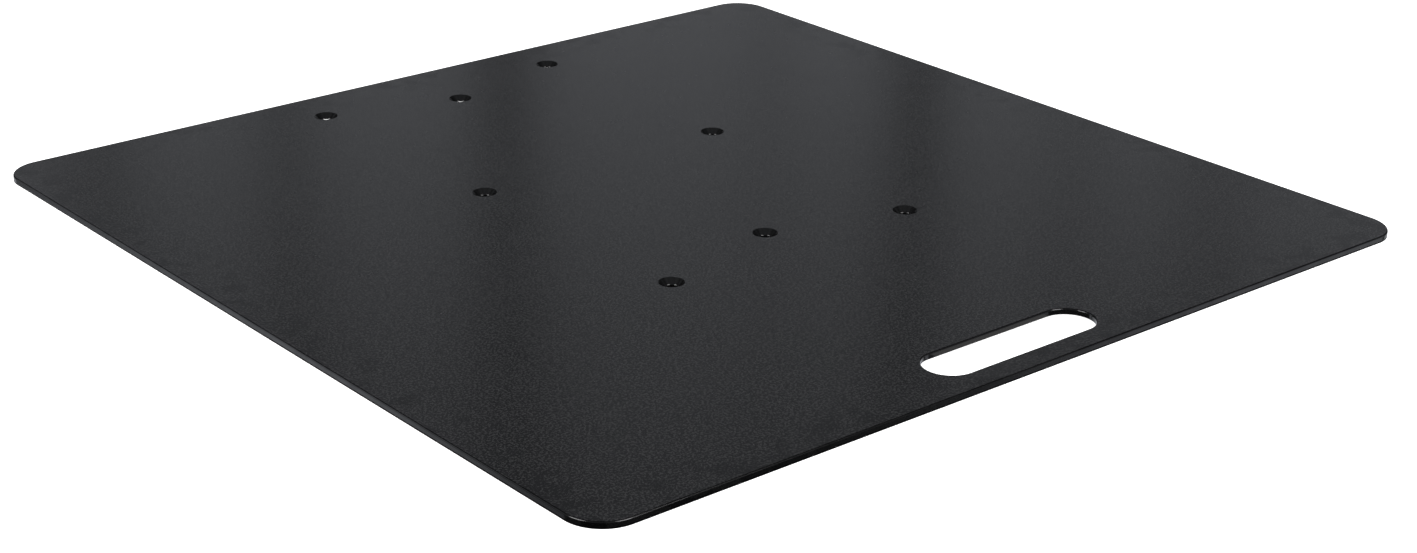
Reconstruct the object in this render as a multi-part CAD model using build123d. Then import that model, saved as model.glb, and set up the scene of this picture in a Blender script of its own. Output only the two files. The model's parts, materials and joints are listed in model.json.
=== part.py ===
"""Ground plate for a truss tower or totem.

One square of 5 mm steel sheet, cut to outline, deburred and powder coated black. It is a single
piece: nothing is welded, riveted or screwed to it. The truss couplers are bolted to it from below
with countersunk screws, so all it carries is eight countersunk screw holes and one hand slot.

Frame: millimetres, origin at the centre of the lower (plain) face, +Z up through the
countersunk face. The hand slot lies along the -Y edge.
"""

import os

from build123d import *

# ---- plate -----------------------------------------------------------------------------------
PLATE_SIDE = 800.0
PLATE_THICKNESS = 5.0
CORNER_RADIUS = 30.0
EDGE_ROUNDING = 1.25  # deburred and coated rim, both faces, around the outline and the slot

# ---- screw holes -----------------------------------------------------------------------------
CHORD_SPACING = 239.0  # square and triangular truss of the 290 mm class, centre to centre
SCREW_HOLE_DIAMETER = 11.0  # clearance for an M10 screw
COUNTERSINK_DIAMETER = 20.0
COUNTERSINK_ANGLE = 90.0
OUTER_ROW_EDGE_DISTANCE = 50.0  # outer row of holes to the +Y edge

# ---- hand slot -------------------------------------------------------------------------------
SLOT_LENGTH = 160.0
SLOT_WIDTH = 40.0
SLOT_EDGE_DISTANCE = 41.0  # centre line of the slot to the -Y edge

# ---- worked out from the sizes above -----------------------------------------------------------
HALF_SIDE = PLATE_SIDE / 2
HALF_CHORD = CHORD_SPACING / 2
TRIANGLE_HEIGHT = CHORD_SPACING * 3**0.5 / 2

OUTER_ROW_Y = HALF_SIDE - OUTER_ROW_EDGE_DISTANCE
MIDDLE_ROW_Y = OUTER_ROW_Y - CHORD_SPACING
INNER_ROW_Y = MIDDLE_ROW_Y - CHORD_SPACING
SLOT_Y = SLOT_EDGE_DISTANCE - HALF_SIDE


def screw_hole_places():
    """Two squares that share the middle row, and the apex of a triangle on each side of that row."""
    rows = [OUTER_ROW_Y, MIDDLE_ROW_Y, INNER_ROW_Y]
    square_corners = [(x, y) for y in rows for x in (-HALF_CHORD, HALF_CHORD)]
    apexes = [(0, MIDDLE_ROW_Y + TRIANGLE_HEIGHT), (0, MIDDLE_ROW_Y - TRIANGLE_HEIGHT)]
    return square_corners + apexes


def make_base_plate():
    """Flat blank with its slot, rounded along every rim, then drilled and countersunk."""
    with BuildPart() as plate:
        with BuildSketch():
            RectangleRounded(PLATE_SIDE, PLATE_SIDE, CORNER_RADIUS)
            with Locations((0, SLOT_Y)):
                SlotOverall(SLOT_LENGTH, SLOT_WIDTH, mode=Mode.SUBTRACT)
        extrude(amount=PLATE_THICKNESS)

        lower_face = plate.faces().sort_by(Axis.Z)[0]
        upper_face = plate.faces().sort_by(Axis.Z)[-1]
        fillet(lower_face.edges() + upper_face.edges(), radius=EDGE_ROUNDING)

        with Locations([(x, y, PLATE_THICKNESS) for x, y in screw_hole_places()]):
            CounterSinkHole(
                radius=SCREW_HOLE_DIAMETER / 2,
                counter_sink_radius=COUNTERSINK_DIAMETER / 2,
                counter_sink_angle=COUNTERSINK_ANGLE,
            )
    return plate.part


os.makedirs("parts", exist_ok=True)
export_step(make_base_plate(), "parts/base_plate.step")
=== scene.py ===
# %% [markdown]
# # A truss base plate, black powder coated
#
# The object is one square of 5 mm steel. A laser cuts its outline, a hand slot and eight screw
# holes, the holes are countersunk, the edges are rubbed down, and the whole sheet is sprayed with
# black powder and baked. So there is one shape to make and one finish, and both have to be good.
#
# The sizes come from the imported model, which is loaded first and never moved.

import json
import math

import bmesh
import bpy
from mathutils import Matrix, Vector, geometry


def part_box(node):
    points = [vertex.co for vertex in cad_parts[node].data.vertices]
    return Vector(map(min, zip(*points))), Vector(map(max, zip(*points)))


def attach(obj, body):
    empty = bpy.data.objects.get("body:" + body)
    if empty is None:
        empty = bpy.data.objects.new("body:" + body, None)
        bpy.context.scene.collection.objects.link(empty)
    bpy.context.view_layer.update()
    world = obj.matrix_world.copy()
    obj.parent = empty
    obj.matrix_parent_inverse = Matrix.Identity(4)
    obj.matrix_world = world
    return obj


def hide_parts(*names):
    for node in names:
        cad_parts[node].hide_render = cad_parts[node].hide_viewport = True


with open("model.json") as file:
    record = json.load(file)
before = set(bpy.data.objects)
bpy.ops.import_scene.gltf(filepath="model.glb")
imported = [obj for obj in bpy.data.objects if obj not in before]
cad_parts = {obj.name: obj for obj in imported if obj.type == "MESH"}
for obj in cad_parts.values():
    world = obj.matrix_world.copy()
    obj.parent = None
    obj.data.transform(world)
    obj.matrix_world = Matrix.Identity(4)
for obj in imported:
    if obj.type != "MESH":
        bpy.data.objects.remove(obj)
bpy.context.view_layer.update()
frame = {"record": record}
MM = 0.001
QUARTER_TURN = math.pi / 2

plate_low, plate_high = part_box("base_plate")
PLATE_SIDE = plate_high.x - plate_low.x
PLATE_THICKNESS = plate_high.z
print(f"plate {PLATE_SIDE / MM:.1f} mm square, {PLATE_THICKNESS / MM:.1f} mm thick")

# %% [markdown]
# ## Where the holes are
#
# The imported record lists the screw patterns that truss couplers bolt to: two squares and two
# triangles, which share holes. A person would mark them out with a square and a compass. Here each
# pattern gives its own holes, and a hole that two patterns share is kept once.

# %% Read one screw pattern
def pattern_holes(mount):
    """Centres of one bolt pattern's holes, in metres."""
    centre = Vector(mount["pos_m"][:2])
    dims = mount["dims"]
    if "pcd_mm" in dims:
        reach = dims["pcd_mm"] / 2 * MM
        nose = 1 if mount["name"].endswith("outer") else -1
        turns = [nose * QUARTER_TURN + math.tau * k / dims["count"] for k in range(dims["count"])]
        return [centre + Vector((math.cos(t), math.sin(t))) * reach for t in turns]
    half_x = dims["spacing_x_mm"] / 2 * MM
    half_y = dims["spacing_y_mm"] / 2 * MM
    return [centre + Vector((x, y)) for x in (-half_x, half_x) for y in (-half_y, half_y)]


patterns = [m for m in frame["record"]["mounts"] if m["kind"] == "bolt_pattern"]
print(f"{len(patterns)} screw patterns")

# %% Mark out the screw holes
BORE_RADIUS = patterns[0]["dims"]["hole_r_mm"] * MM

hole_places = []
for pattern in patterns:
    for spot in pattern_holes(pattern):
        if all((spot - other).length > BORE_RADIUS for other in hole_places):
            hole_places.append(spot)
print(f"{len(hole_places)} screw holes of {2 * BORE_RADIUS / MM:.0f} mm")

# %% [markdown]
# ## Rims: the closed lines that the metal ends on
#
# Everything on this plate is a flat sheet that ends on ten closed lines: the outline, the slot and
# the eight holes. Each line is kept as a list of points, and with each point the direction that
# looks out of the metal there. Boolean cuts could make the same shape, but they leave stray
# triangles and normals that need cleaning. With the directions known, every normal is exact.

# %% Two helpers that draw a rim
STRAIGHT_STEP = 25 * MM


def arc_rim(centre, radius, start, turn, steps, outwards=1):
    """Points of an arc, each with the direction out of the metal: away from its centre, or to it."""
    rim = []
    for k in range(steps + 1):
        angle = start + turn * k / steps
        ray = Vector((math.cos(angle), math.sin(angle)))
        rim.append((centre + ray * radius, ray * outwards))
    return rim


def join_arcs(arcs):
    """One closed rim from arcs in order, with points along the straight runs between them."""
    rim = []
    for arc, following in zip(arcs, arcs[1:] + arcs[:1]):
        rim += arc
        run = following[0][0] - arc[-1][0]
        pieces = max(1, round(run.length / STRAIGHT_STEP))
        rim += [(arc[-1][0] + run * (k / pieces), arc[-1][1]) for k in range(1, pieces)]
    return rim


print(f"straight runs get a point about every {STRAIGHT_STEP / MM:.0f} mm")

# %% Draw the outline
CORNER_RADIUS = 30 * MM
CORNER_STEPS = 20

corner_reach = PLATE_SIDE / 2 - CORNER_RADIUS
corners = [(1, 1), (-1, 1), (-1, -1), (1, -1)]
outline = join_arcs([
    arc_rim(Vector(c) * corner_reach, CORNER_RADIUS, QUARTER_TURN * k, QUARTER_TURN, CORNER_STEPS)
    for k, c in enumerate(corners)
])
print(f"outline {len(outline)} points")

# %% Draw the slot and the holes
SLOT_LENGTH = 160 * MM
SLOT_WIDTH = 40 * MM
SLOT_EDGE_DISTANCE = 41 * MM
SLOT_END_STEPS = 40
HOLE_STEPS = 72

slot_y = SLOT_EDGE_DISTANCE - PLATE_SIDE / 2
slot_reach = (SLOT_LENGTH - SLOT_WIDTH) / 2
slot_ends = [
    (Vector((slot_reach, slot_y)), -QUARTER_TURN),
    (Vector((-slot_reach, slot_y)), QUARTER_TURN),
]
slot = join_arcs([
    arc_rim(centre, SLOT_WIDTH / 2, start, math.pi, SLOT_END_STEPS, -1)
    for centre, start in slot_ends
])
holes = [arc_rim(spot, BORE_RADIUS, 0, math.tau, HOLE_STEPS, -1)[:-1] for spot in hole_places]
print(f"slot {len(slot)} points, each of {len(holes)} holes {HOLE_STEPS}")

# %% [markdown]
# ## Profiles: how the metal turns over at a rim
#
# Rubbing down rounds every edge, and the coat rounds it a little more. The outline and the slot
# turn over with a radius of 1.25 mm, top and bottom. A screw hole has a short bore and a 45 degree
# cone. The coat gathers on the edge between the two and softens it, and the cone's upper rim is
# barely broken. A profile is a list of three values: how far back in the metal, how high, and how
# far the surface has turned up. Such small roundings matter, because they catch the light.

# %% Write the edge's profile
EDGE_ROUNDING = 1.25 * MM
EDGE_STEPS = 6


def turned_edge(back, height, radius, from_tilt, to_tilt, steps):
    """A rounded edge about a centre in the metal: (distance back, height, tilt of the surface)."""
    tilts = [from_tilt + (to_tilt - from_tilt) * k / steps for k in range(steps + 1)]
    return [(back - radius * math.cos(t), height + radius * math.sin(t), t) for t in tilts]


lower_turn = turned_edge(
    EDGE_ROUNDING, EDGE_ROUNDING, EDGE_ROUNDING, -QUARTER_TURN, 0, EDGE_STEPS
)
upper_turn = turned_edge(
    EDGE_ROUNDING, PLATE_THICKNESS - EDGE_ROUNDING, EDGE_ROUNDING, 0, QUARTER_TURN, EDGE_STEPS
)
edge_profile = lower_turn + upper_turn
print(f"edge profile {len(edge_profile)} points")

# %% Write a screw hole's profile
COUNTERSINK_RADIUS = 10 * MM
CONE_TILT = math.radians(45)
BORE_MOUTH_ROUNDING = 0.15 * MM
BORE_MOUTH_STEPS = 3
BORE_EDGE_ROUNDING = 1.4 * MM
BORE_EDGE_TILT = math.radians(12)
CONE_RIM_ROUNDING = 0.4 * MM
CONE_STEPS = 4

cone_depth = COUNTERSINK_RADIUS - BORE_RADIUS
cone_foot = PLATE_THICKNESS - cone_depth
half_turn = math.tan(CONE_TILT / 2)
bore_mouth = turned_edge(
    BORE_MOUTH_ROUNDING, BORE_MOUTH_ROUNDING, BORE_MOUTH_ROUNDING,
    -QUARTER_TURN, 0, BORE_MOUTH_STEPS,
)
bore_edge = turned_edge(
    BORE_EDGE_ROUNDING, cone_foot - BORE_EDGE_ROUNDING * half_turn, BORE_EDGE_ROUNDING,
    BORE_EDGE_TILT, CONE_TILT, CONE_STEPS,
)
cone_rim = turned_edge(
    cone_depth + CONE_RIM_ROUNDING * half_turn, PLATE_THICKNESS - CONE_RIM_ROUNDING,
    CONE_RIM_ROUNDING, CONE_TILT, QUARTER_TURN, CONE_STEPS,
)
hole_profile = bore_mouth + bore_edge + cone_rim
print(f"hole profile {len(hole_profile)} points, cone {cone_depth / MM:.1f} mm deep")

# %% [markdown]
# ## The plate
#
# Each rim carries its profile round, which makes all the walls. The two flat faces are then filled
# by a Delaunay triangulation that has to keep the rims' last rings as edges. A loose grid of
# points inside keeps its triangles even. The true normals are written on at the end, so the flat
# faces shade dead flat and the rounded edges run smoothly into them.

# %% Carry a profile round a rim
def sweep(mesh, normals, rim, profile):
    """Carries a profile round a rim. Returns the lowest and the highest ring of vertices."""
    rings = []
    for back, height, tilt in profile:
        ring = []
        for point, out in rim:
            flat = point - out * back
            ring.append(mesh.verts.new((flat.x, flat.y, height)))
            normals.append(Vector((out.x * math.cos(tilt), out.y * math.cos(tilt), math.sin(tilt))))
        rings.append(ring)
    for lower, upper in zip(rings, rings[1:]):
        for k in range(len(rim)):
            mesh.faces.new((lower[k - 1], lower[k], upper[k], upper[k - 1]))
    return rings[0], rings[-1]


mesh = bmesh.new()
normals = []
lower_rings = []
upper_rings = []
rims = [(outline, edge_profile), (slot, edge_profile)]
rims += [(hole, hole_profile) for hole in holes]
for rim, profile in rims:
    lowest, highest = sweep(mesh, normals, rim, profile)
    lower_rings.append(lowest)
    upper_rings.append(highest)
print(f"walls: {len(mesh.faces)} faces round {len(rims)} rims")

# %% [markdown]
# The triangulation fills the openings too, so a triangle is kept only where its middle lies in the
# metal. The slot and the holes are wider at a face than at their rims, by as much as the profile
# runs back, and the test allows for that.

# %% Ask where the metal is
def in_metal(point, slot_back, hole_back):
    """True where a flat face has metal, with its openings wider than their rims by these."""
    along_slot = max(abs(point.x) - slot_reach, 0)
    if math.hypot(along_slot, point.y - slot_y) < SLOT_WIDTH / 2 + slot_back:
        return False
    return all((point - spot).length > BORE_RADIUS + hole_back for spot in hole_places)


print("metal at the centre:", in_metal(Vector((0, 0)), 0, 0))

# %% Lay a grid for a flat face
FILL_STEP = 25 * MM
FILL_CLEARANCE = 9 * MM


def fill_grid(ring_points, backs):
    """Points on a square grid in the metal, none of them near a ring."""
    steps = round(PLATE_SIDE / FILL_STEP)
    grid = [
        Vector((plate_low.x + FILL_STEP * i, plate_low.y + FILL_STEP * j))
        for i in range(1, steps) for j in range(1, steps)
    ]
    grid = [p for p in grid if min((p - q).length for q in ring_points) > FILL_CLEARANCE]
    return [p for p in grid if in_metal(p, *backs)]


print(f"grid {FILL_STEP / MM:.0f} mm, kept {FILL_CLEARANCE / MM:.0f} mm clear of the rims")

# %% Fill the flat faces
MERGE_DISTANCE = 1e-7


def fill(mesh, normals, rings, backs, up):
    """Fills a flat face between an outer ring and the rings of its openings."""
    height = rings[0][0].co.z
    verts = [v for ring in rings for v in ring]
    ring_points = [v.co.xy for v in verts]
    edges = []
    for ring in rings:
        start = len(edges)
        edges += [(start + k, start + (k + 1) % len(ring)) for k in range(len(ring))]
    seeds = ring_points + fill_grid(ring_points, backs)
    points, _, triangles, *_ = geometry.delaunay_2d_cdt(seeds, edges, [], 0, MERGE_DISTANCE, False)
    for p in points[len(verts):]:
        verts.append(mesh.verts.new((p.x, p.y, height)))
        normals.append(Vector((0, 0, up)))
    for triangle in triangles:
        middle = sum((points[k] for k in triangle), Vector((0, 0))) / 3
        if in_metal(middle, *backs):
            mesh.faces.new([verts[k] for k in (triangle if up > 0 else reversed(triangle))])


fill(mesh, normals, upper_rings, (edge_profile[-1][0], hole_profile[-1][0]), 1)
fill(mesh, normals, lower_rings, (edge_profile[0][0], hole_profile[0][0]), -1)
bmesh.ops.recalc_face_normals(mesh, faces=mesh.faces)
loose = [e for e in mesh.edges if len(e.link_faces) != 2]
print(f"plate mesh: {len(mesh.verts)} vertices, {len(mesh.faces)} faces, {len(loose)} open edges")

# %% Attach the plate and hide the imported part
plate_mesh = bpy.data.meshes.new("powder_coated_plate")
mesh.to_mesh(plate_mesh)
mesh.free()
for face in plate_mesh.polygons:
    face.use_smooth = True
plate_mesh.normals_split_custom_set_from_vertices(normals)
plate = bpy.data.objects.new("powder_coated_plate", plate_mesh)
bpy.context.scene.collection.objects.link(plate)
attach(plate, "root")
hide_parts("base_plate")
print(f"{plate.name} stands for base_plate")

# %% [markdown]
# ## Shader sums that read as sums
#
# A finish is a page of arithmetic on noise and positions. Wiring Math nodes by hand hides it, so
# one small class wraps a socket: adding, subtracting or multiplying two of them adds the node.
# Every other node comes from one method, which sets the node up and then joins its inputs.

# %% A socket that does sums
class Wire:
    """One output of a node tree."""

    def __init__(self, tree, socket):
        self.tree = tree
        self.socket = socket

    @classmethod
    def node(cls, tree, kind, settings=None, inputs=None, output=0):
        """Adds a node: its settings first, then its inputs' values or links. Returns one output."""
        node = tree.nodes.new(kind)
        for name, value in (settings or {}).items():
            setattr(node, name, value)
        for name, value in (inputs or {}).items():
            if isinstance(value, Wire):
                tree.links.new(value.socket, node.inputs[name])
            else:
                node.inputs[name].default_value = value
        return cls(tree, node.outputs[output])

    def math(self, operation, *others):
        """A Math node on this value and any others."""
        values = dict(enumerate((self, *others)))
        return Wire.node(self.tree, "ShaderNodeMath", {"operation": operation}, values)

    def __add__(self, other):
        return self.math("ADD", other)

    def __mul__(self, other):
        return self.math("MULTIPLY", other)

    def __sub__(self, other):
        return self.math("SUBTRACT", other)

    def __rsub__(self, other):
        return (self * -1) + other

    def __abs__(self):
        return self.math("ABSOLUTE")

    __radd__ = __add__
    __rmul__ = __mul__

    def ease(self, start, end):
        """0 at start, 1 at end, with soft ends."""
        inputs = {"Value": self, "From Min": start, "From Max": end}
        return Wire.node(self.tree, "ShaderNodeMapRange", {"interpolation_type": "SMOOTHSTEP"}, inputs)

    def stretch(self, x, y, z):
        """A vector with its three parts multiplied by these."""
        inputs = {0: self, 1: (x, y, z)}
        return Wire.node(self.tree, "ShaderNodeVectorMath", {"operation": "MULTIPLY"}, inputs)

    def split(self):
        """The three parts of a vector."""
        parts = Wire.node(self.tree, "ShaderNodeSeparateXYZ", None, {"Vector": self})
        return [Wire(self.tree, s) for s in parts.socket.node.outputs]

    def blend(self, first, second):
        """A colour that goes from first to second as this value goes from 0 to 1."""
        settings = {"data_type": "RGBA"}
        return Wire.node(self.tree, "ShaderNodeMix", settings, {0: self, 6: first, 7: second}, 2)


print("a Wire adds, subtracts, multiplies and takes abs()")

# %% [markdown]
# ## The black powder coat
#
# Powder melts and flows but never quite levels. It leaves an orange peel of soft bumps a few
# millimetres apart, and a finer grit on top. Both calm down on the rims, where a coat pulls thin.
# A textured powder also mixes black grains with slightly paler ones, so the flat faces have a fine
# grain in their colour. On black, a bump alone hardly shows: what the eye reads as the finish is
# the grain, and how the gloss breaks up the reflections.

# %% Noise in millimetres
def noise(place, size, detail=2.0, roughness=0.5):
    """Cloudy noise from 0 to 1 whose lumps are about this size, in metres."""
    inputs = {"Vector": place, "Scale": 1 / size, "Detail": detail, "Roughness": roughness}
    return Wire.node(place.tree, "ShaderNodeTexNoise", {"noise_dimensions": "3D"}, inputs)


coat = bpy.data.materials.new("black_powder_coat")
coat.use_nodes = True
tree = coat.node_tree
place = Wire.node(tree, "ShaderNodeTexCoord", output="Object")
print(f"started {coat.name}")

# %% Grain, grit and orange peel
PEEL_SIZE = 3.5 * MM
GRIT_SIZE = 0.9 * MM
GRAIN_SIZE = 1.6 * MM
CLOUD_SIZE = 60 * MM
FLAT_FACE = (0.95, 0.999)

facing_up = Wire.node(tree, "ShaderNodeNewGeometry", output="Normal").split()[2]
on_flat_face = abs(facing_up).ease(*FLAT_FACE)
peel = noise(place, PEEL_SIZE, 1.0)
grit = noise(place, GRIT_SIZE, 1.0)
grain = (noise(place, GRAIN_SIZE, 1.0, 0.6) - 0.5) * on_flat_face
cloud = noise(place, CLOUD_SIZE, 3.0) - 0.5
print(f"grain of {GRAIN_SIZE / MM:.1f} mm on peel of {PEEL_SIZE / MM:.1f} mm")

# %% [markdown]
# A plate lives in a truck. Hands take it by its edges and leave duller, darker marks in a band
# there, and a few specks of dust settle anywhere. The laser leaves fine upright striations on the
# walls that it cuts, which the coat softens but doesn't hide. They are noise squeezed to long
# upright streaks, and only where the surface stands up.

# %% Finger marks, dust and cut walls
FINGER_SIZE = 18 * MM
FINGER_BAND = (50 * MM, 12 * MM)
FINGER_SPREAD = (0.50, 0.62)
DUST_SIZE = 2.0 * MM
DUST_SPREAD = (0.85, 0.89)
STRIATION_SIZE = 0.8 * MM
STRIATION_SQUEEZE = 0.08
UPRIGHT_WALL = (0.3, 0.05)

across, along, height = place.split()
from_edge = PLATE_SIDE / 2 - abs(across).math("MAXIMUM", abs(along))
fingers = noise(place, FINGER_SIZE, 2.0).ease(*FINGER_SPREAD) * from_edge.ease(*FINGER_BAND)
dust = noise(place, DUST_SIZE, 0.0).ease(*DUST_SPREAD)
streaks = noise(place.stretch(1, 1, STRIATION_SQUEEZE), STRIATION_SIZE, 2.0, 0.6)
striations = streaks * abs(facing_up).ease(*UPRIGHT_WALL)
print(f"finger marks within {FINGER_BAND[0] / MM:.0f} mm of the edge")

# %% [markdown]
# The three sums below are the finish. Roughness stays low, for a satin gloss. The shade picks a
# place between the two kinds of grain, and both are nearly black. The bump is a fortieth of a
# millimetre high.

# %% Mix the coat
MEAN_ROUGHNESS = 0.15
PALE_SHARE = 0.10
GRAIN_CONTRAST = 9.0
BLACK_GRAIN = (0.0003, 0.0003, 0.0003, 1)
PALE_GRAIN = (0.0150, 0.0151, 0.0153, 1)
BUMP_HEIGHT = 0.025 * MM
BUMP_STRENGTH = 0.6
BUMP_LEFT_ON_RIMS = 0.15
COAT_IOR = 1.5

roughness = MEAN_ROUGHNESS + cloud * 0.05 + grain * 0.08 + fingers * 0.04 + dust * 0.15
shade = grain * GRAIN_CONTRAST + PALE_SHARE - fingers * 0.6 + dust * 0.25 + cloud * 0.12
calm = on_flat_face * (1 - BUMP_LEFT_ON_RIMS) + BUMP_LEFT_ON_RIMS
bumps = (peel * 0.7 + grit * 0.35) * calm + striations * 0.4
bump_inputs = {"Strength": BUMP_STRENGTH, "Distance": BUMP_HEIGHT, "Height": bumps}
relief = Wire.node(tree, "ShaderNodeBump", None, bump_inputs)

sockets = tree.nodes["Principled BSDF"].inputs
tree.links.new(shade.blend(BLACK_GRAIN, PALE_GRAIN).socket, sockets["Base Color"])
tree.links.new(roughness.socket, sockets["Roughness"])
tree.links.new(relief.socket, sockets["Normal"])
sockets["IOR"].default_value = COAT_IOR
plate_mesh.materials.append(coat)
print(f"powder coat: {len(tree.nodes)} nodes")

# %% [markdown]
# ## Floor, cards and painted shadows
#
# None of this is part of the object. The plate lies on a plain white floor, which glows a little
# so that it stays white right up to the plate. A black card under the plate is painted shadow: it
# stands in for the shade under the plate, so that the floor doesn't shine up through the inner
# screw holes. It stops short of the outer three, which show the floor. A black line runs under the
# outline, as a painted contact shadow. A small glowing card under the slot shows only as a
# reflection in the slot's far wall.

# %% A helper for flat stage pieces
STAGE_ROUGHNESS = 0.9


def stage_sheet(name, points, faces, shade, glow):
    """Flat faces of one grey that also glow a little. They belong to the stage."""
    sheet_mesh = bpy.data.meshes.new(name)
    sheet_mesh.from_pydata(points, [], faces)
    paint = bpy.data.materials.new(name)
    paint.use_nodes = True
    paint_sockets = paint.node_tree.nodes["Principled BSDF"].inputs
    paint_sockets["Base Color"].default_value = (shade, shade, shade, 1)
    paint_sockets["Roughness"].default_value = STAGE_ROUGHNESS
    paint_sockets["Specular IOR Level"].default_value = 0.0
    paint_sockets["Emission Color"].default_value = (1, 1, 1, 1)
    paint_sockets["Emission Strength"].default_value = glow
    sheet_mesh.materials.append(paint)
    sheet = bpy.data.objects.new(name, sheet_mesh)
    bpy.context.scene.collection.objects.link(sheet)
    return sheet


def rectangle(name, low, high, height, shade, glow):
    """A stage sheet between two opposite corners."""
    ring = [(low[0], low[1]), (high[0], low[1]), (high[0], high[1]), (low[0], high[1])]
    return stage_sheet(name, [(x, y, height) for x, y in ring], [(0, 1, 2, 3)], shade, glow)


print("stage pieces are flat, matt and plain")

# %% Lay the floor and the cards
FLOOR_REACH = 30.0
FLOOR_SHADE = 0.9
FLOOR_GLOW = 0.5
FLOOR_HEIGHT = -0.1 * MM
CARD_HEIGHT = -0.05 * MM
# near-black of the painted shadows: the card under the plate and the contact line
PAINTED_SHADOW_TONE = 0.002
CARD_LOW = (-380 * MM, -320 * MM)
CARD_HIGH = (380 * MM, 300 * MM)
SLOT_CARD_HEIGHT = -0.03 * MM
SLOT_CARD_GLOW = 0.65
SLOT_CARD_LOW = (-52 * MM, -355 * MM)
SLOT_CARD_HIGH = (62 * MM, -339.3 * MM)

floor_low = (-FLOOR_REACH, -FLOOR_REACH)
floor_high = (FLOOR_REACH, FLOOR_REACH)
floor = rectangle("floor", floor_low, floor_high, FLOOR_HEIGHT, FLOOR_SHADE, FLOOR_GLOW)
floor.visible_glossy = False
# painted shadow: a near-black sheet where the shade under the plate would fall
rectangle("painted_shadow_card", CARD_LOW, CARD_HIGH, CARD_HEIGHT, PAINTED_SHADOW_TONE, 0.0)
slot_card = rectangle(
    "slot_card", SLOT_CARD_LOW, SLOT_CARD_HIGH, SLOT_CARD_HEIGHT, 0.0, SLOT_CARD_GLOW
)
slot_card.visible_camera = False
slot_card.visible_diffuse = False
slot_card.visible_shadow = False
print(f"floor {2 * FLOOR_REACH:.0f} m across, with two cards")

# %% Lay the contact shadow
SHADOW_WIDTH = 10 * MM

# painted contact shadow: a near-black ring under the plate's rim, standing in for shade
outer_ring = [(p.x, p.y, CARD_HEIGHT) for p, out in outline]
inner_points = [p - out * SHADOW_WIDTH for p, out in outline]
inner_ring = [(p.x, p.y, CARD_HEIGHT) for p in inner_points]
count = len(outline)
ring_faces = []
for k in range(count):
    before = (k - 1) % count
    ring_faces.append((before, k, k + count, before + count))
stage_sheet("painted_contact_shadow", outer_ring + inner_ring, ring_faces, PAINTED_SHADOW_TONE, 0.0)
print(f"contact shadow: a line {SHADOW_WIDTH / MM:.0f} mm wide under the rim")

# %% [markdown]
# ## Light
#
# Black paint shows its surroundings more than itself. The studio is a ring of pale boards with
# gaps between them, and the coat picks up each gap as a soft dark streak. Boards that stood in the
# room would get in the way from some side, so they are worked out in the world's shader, by
# direction. Only reflections see them: the camera and the plain light see an even white.

# %% Where the camera stands, and directions about it
CAMERA_PLACE = Vector((-1.2241, -1.4841, 0.7375))
facing = math.degrees(math.atan2(-CAMERA_PLACE.x, -CAMERA_PLACE.y))


def wrapped(bearing, period):
    """A bearing in degrees, brought to within half a period of zero."""
    return (bearing + (period / 2 + 360)).math("MODULO", period) - period / 2


world = bpy.data.worlds.new("studio")
bpy.context.scene.world = world
world.use_nodes = True
world.cycles.sampling_method = "NONE"
sky = world.node_tree
east, north, up = Wire.node(sky, "ShaderNodeTexCoord", output="Generated").split()
bearing = east.math("ARCTAN2", north) * math.degrees(1) - facing
elevation = up.math("ARCSINE") * math.degrees(1)
print(f"the camera faces {facing:.1f} degrees east of north")

# %% [markdown]
# The boards stand in four groups, a quarter turn apart, so that the plate has streaks to show from
# every side. Each gap has a bearing within its group, a half width and a depth. The boards dim
# towards the ceiling and stop a little above the floor.

# %% Stand the boards in a ring
GROUP_TURN = 90.0
GROUP_ENDS = (38, 24)
BOARD_GAPS = [
    (-13.8, 0.9, 0.55), (-9.4, 0.7, 0.6), (-4.3, 0.75, 0.9), (1.9, 0.6, 0.25),
    (5.4, 0.62, 1.0), (9.1, 0.8, 0.3), (12.4, 0.9, 0.4),
]
GAP_SOFTNESS = 1.5
BOARD_GLARE = 0.318
BOARD_FALL = 0.27
BOARD_FALL_RANGE = (8, 45)
BOARD_FOOT = (5, 13)

in_group = wrapped(bearing, GROUP_TURN)
gaps = 0.0
for centre, width, depth in BOARD_GAPS:
    gaps = gaps + abs(in_group - centre).ease(width * GAP_SOFTNESS, 0.0) * depth
glare = elevation.ease(*BOARD_FALL_RANGE) * -BOARD_FALL + BOARD_GLARE
boards = (1 - gaps) * glare * abs(in_group).ease(*GROUP_ENDS) * elevation.ease(*BOARD_FOOT)
print(f"{len(BOARD_GAPS)} gaps in each group of boards")

# %% [markdown]
# Seen from above, the plate's upright edges reflect what is low. A leaning panel on each side
# lights the far end of an edge and leaves its near end dark. A patch of pale floor beyond the
# plate lights its side corners and the round ends of the slot.

# %% Stand the low panels
PANEL_LEAN = 0.32
LEFT_PANEL_BEARING = -77.5
LEFT_PANEL_WIDTH = (10, 0)
LEFT_PANEL_TOP = (34, 24)
LEFT_PANEL_GLARE = 0.9
RIGHT_PANEL_NEAR_END = (102.5, 96.5)
RIGHT_PANEL_FAR_END = (65, 80)
RIGHT_PANEL_TOP = (14, -6)
RIGHT_PANEL_GLARE = 0.75
FAR_FLOOR_SIDES = (64, 54)
FAR_FLOOR_TOP = (-8, -18)
FAR_FLOOR_GLARE = 0.72
LOW_LIGHT_FOOT = (-40, -29)

around = wrapped(bearing, 360.0)
lean = abs(elevation) * PANEL_LEAN
left_panel = abs(around - lean - LEFT_PANEL_BEARING).ease(*LEFT_PANEL_WIDTH)
left_panel = left_panel * elevation.ease(*LEFT_PANEL_TOP) * LEFT_PANEL_GLARE
right_panel = (around + lean).ease(*RIGHT_PANEL_NEAR_END) * around.ease(*RIGHT_PANEL_FAR_END)
right_panel = right_panel * elevation.ease(*RIGHT_PANEL_TOP) * RIGHT_PANEL_GLARE
far_floor = abs(around).ease(*FAR_FLOOR_SIDES) * elevation.ease(*FAR_FLOOR_TOP)
low_light = left_panel + right_panel + far_floor * FAR_FLOOR_GLARE
low_light = low_light * elevation.ease(*LOW_LIGHT_FOOT)
print("two low panels and a patch of pale floor")

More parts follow.
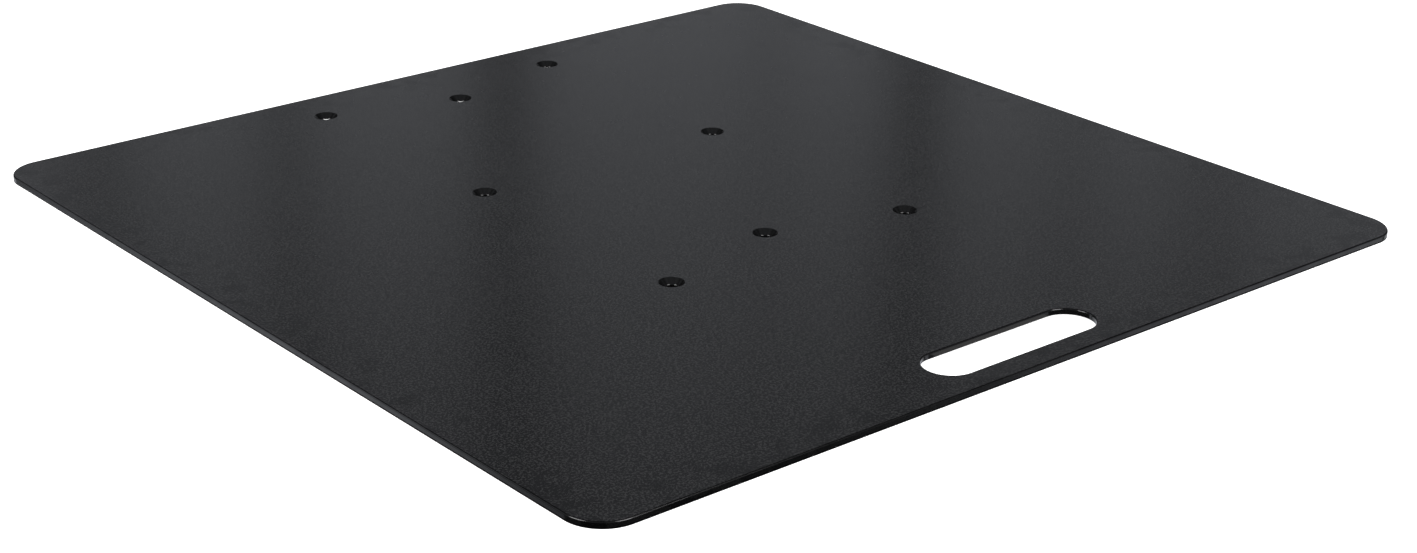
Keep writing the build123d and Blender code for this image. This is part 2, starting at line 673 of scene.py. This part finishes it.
# %% [markdown]
# The side of a screw hole's cone that the camera sees looks up and back towards it, so it reflects
# the ceiling behind the camera. A pale patch there keeps the cones from going quite black. The
# room itself adds a faint glare everywhere.

# %% Light the ceiling behind the camera
CEILING_SIDES = (40, 100)
CEILING_FOOT = (45, 58)
CEILING_TOP = (86, 78)
CEILING_GLARE = 0.15
ROOM_GLARE = 0.035

ceiling = abs(around).ease(*CEILING_SIDES) * elevation.ease(*CEILING_FOOT) * elevation.ease(*CEILING_TOP)
room = boards + low_light + ceiling * CEILING_GLARE + ROOM_GLARE
print(f"ceiling patch from {CEILING_FOOT[1]} degrees up")

# %% Show the room to reflections only
WHITE = (1, 1, 1, 1)
COOL_WHITE = (0.95, 0.98, 1.05, 1)

in_reflection = Wire.node(sky, "ShaderNodeLightPath", output="Is Glossy Ray")
strength = in_reflection * (room - 1.0) + 1.0
backdrop = sky.nodes["Background"]
sky.links.new(in_reflection.blend(WHITE, COOL_WHITE).socket, backdrop.inputs["Color"])
sky.links.new(strength.socket, backdrop.inputs["Strength"])
print(f"studio: {len(sky.nodes)} nodes")

# %% [markdown]
# Two softboxes stand behind the camera, one to each side. They put the fine bright line on the
# rounded front corner and the two small glints on the edge of each bore.

# %% Stand the softboxes
SOFTBOX_REACH = 3.0
SOFTBOX_WIDTH = 1.7
SOFTBOX_HEIGHT = 1.5
SOFTBOX_RISE = math.radians(32)
SOFTBOX_POWER = 57
SOFTBOX_SWINGS = {"softbox_left": 58, "softbox_right": -48}

for name, swing in SOFTBOX_SWINGS.items():
    lamp = bpy.data.lights.new(name, "AREA")
    lamp.shape = "RECTANGLE"
    lamp.size = SOFTBOX_WIDTH
    lamp.size_y = SOFTBOX_HEIGHT
    lamp.energy = SOFTBOX_POWER
    softbox = bpy.data.objects.new(name, lamp)
    stand = math.radians(facing + 180 + swing)
    outwards = Vector((math.sin(stand), math.cos(stand), 0))
    toward = outwards * math.cos(SOFTBOX_RISE) + Vector((0, 0, math.sin(SOFTBOX_RISE)))
    softbox.location = toward * SOFTBOX_REACH
    softbox.rotation_euler = toward.to_track_quat("Z", "Y").to_euler()
    bpy.context.scene.collection.objects.link(softbox)
print(f"{len(SOFTBOX_SWINGS)} softboxes, {SOFTBOX_REACH:.0f} m from the plate")

# %% [markdown]
# ## Camera
#
# A moderate telephoto at a low angle, so that the plate lies stretched across the frame. Standard
# colour keeps black paint black and the floor white, where a film-like curve would grey them both.

# %% Place the camera
SENSOR_WIDTH = 36
FOCAL_LENGTH = 65.12
HEADING = math.radians(-40.058)
TILT_FROM_STRAIGHT_DOWN = math.radians(90 - 22.594)
ROLL = math.radians(0.652)

lens = bpy.data.cameras.new("camera")
lens.sensor_width = SENSOR_WIDTH
lens.lens = FOCAL_LENGTH
camera = bpy.data.objects.new("camera", lens)
camera.location = CAMERA_PLACE
turned = Matrix.Rotation(HEADING, 3, "Z")
turned = turned @ Matrix.Rotation(TILT_FROM_STRAIGHT_DOWN, 3, "X")
turned = turned @ Matrix.Rotation(ROLL, 3, "Z")
camera.rotation_euler = turned.to_euler()
bpy.context.scene.collection.objects.link(camera)
bpy.context.scene.camera = camera
bpy.context.scene.view_settings.view_transform = "Standard"
print(f"camera {CAMERA_PLACE.length:.2f} m from the plate's centre")
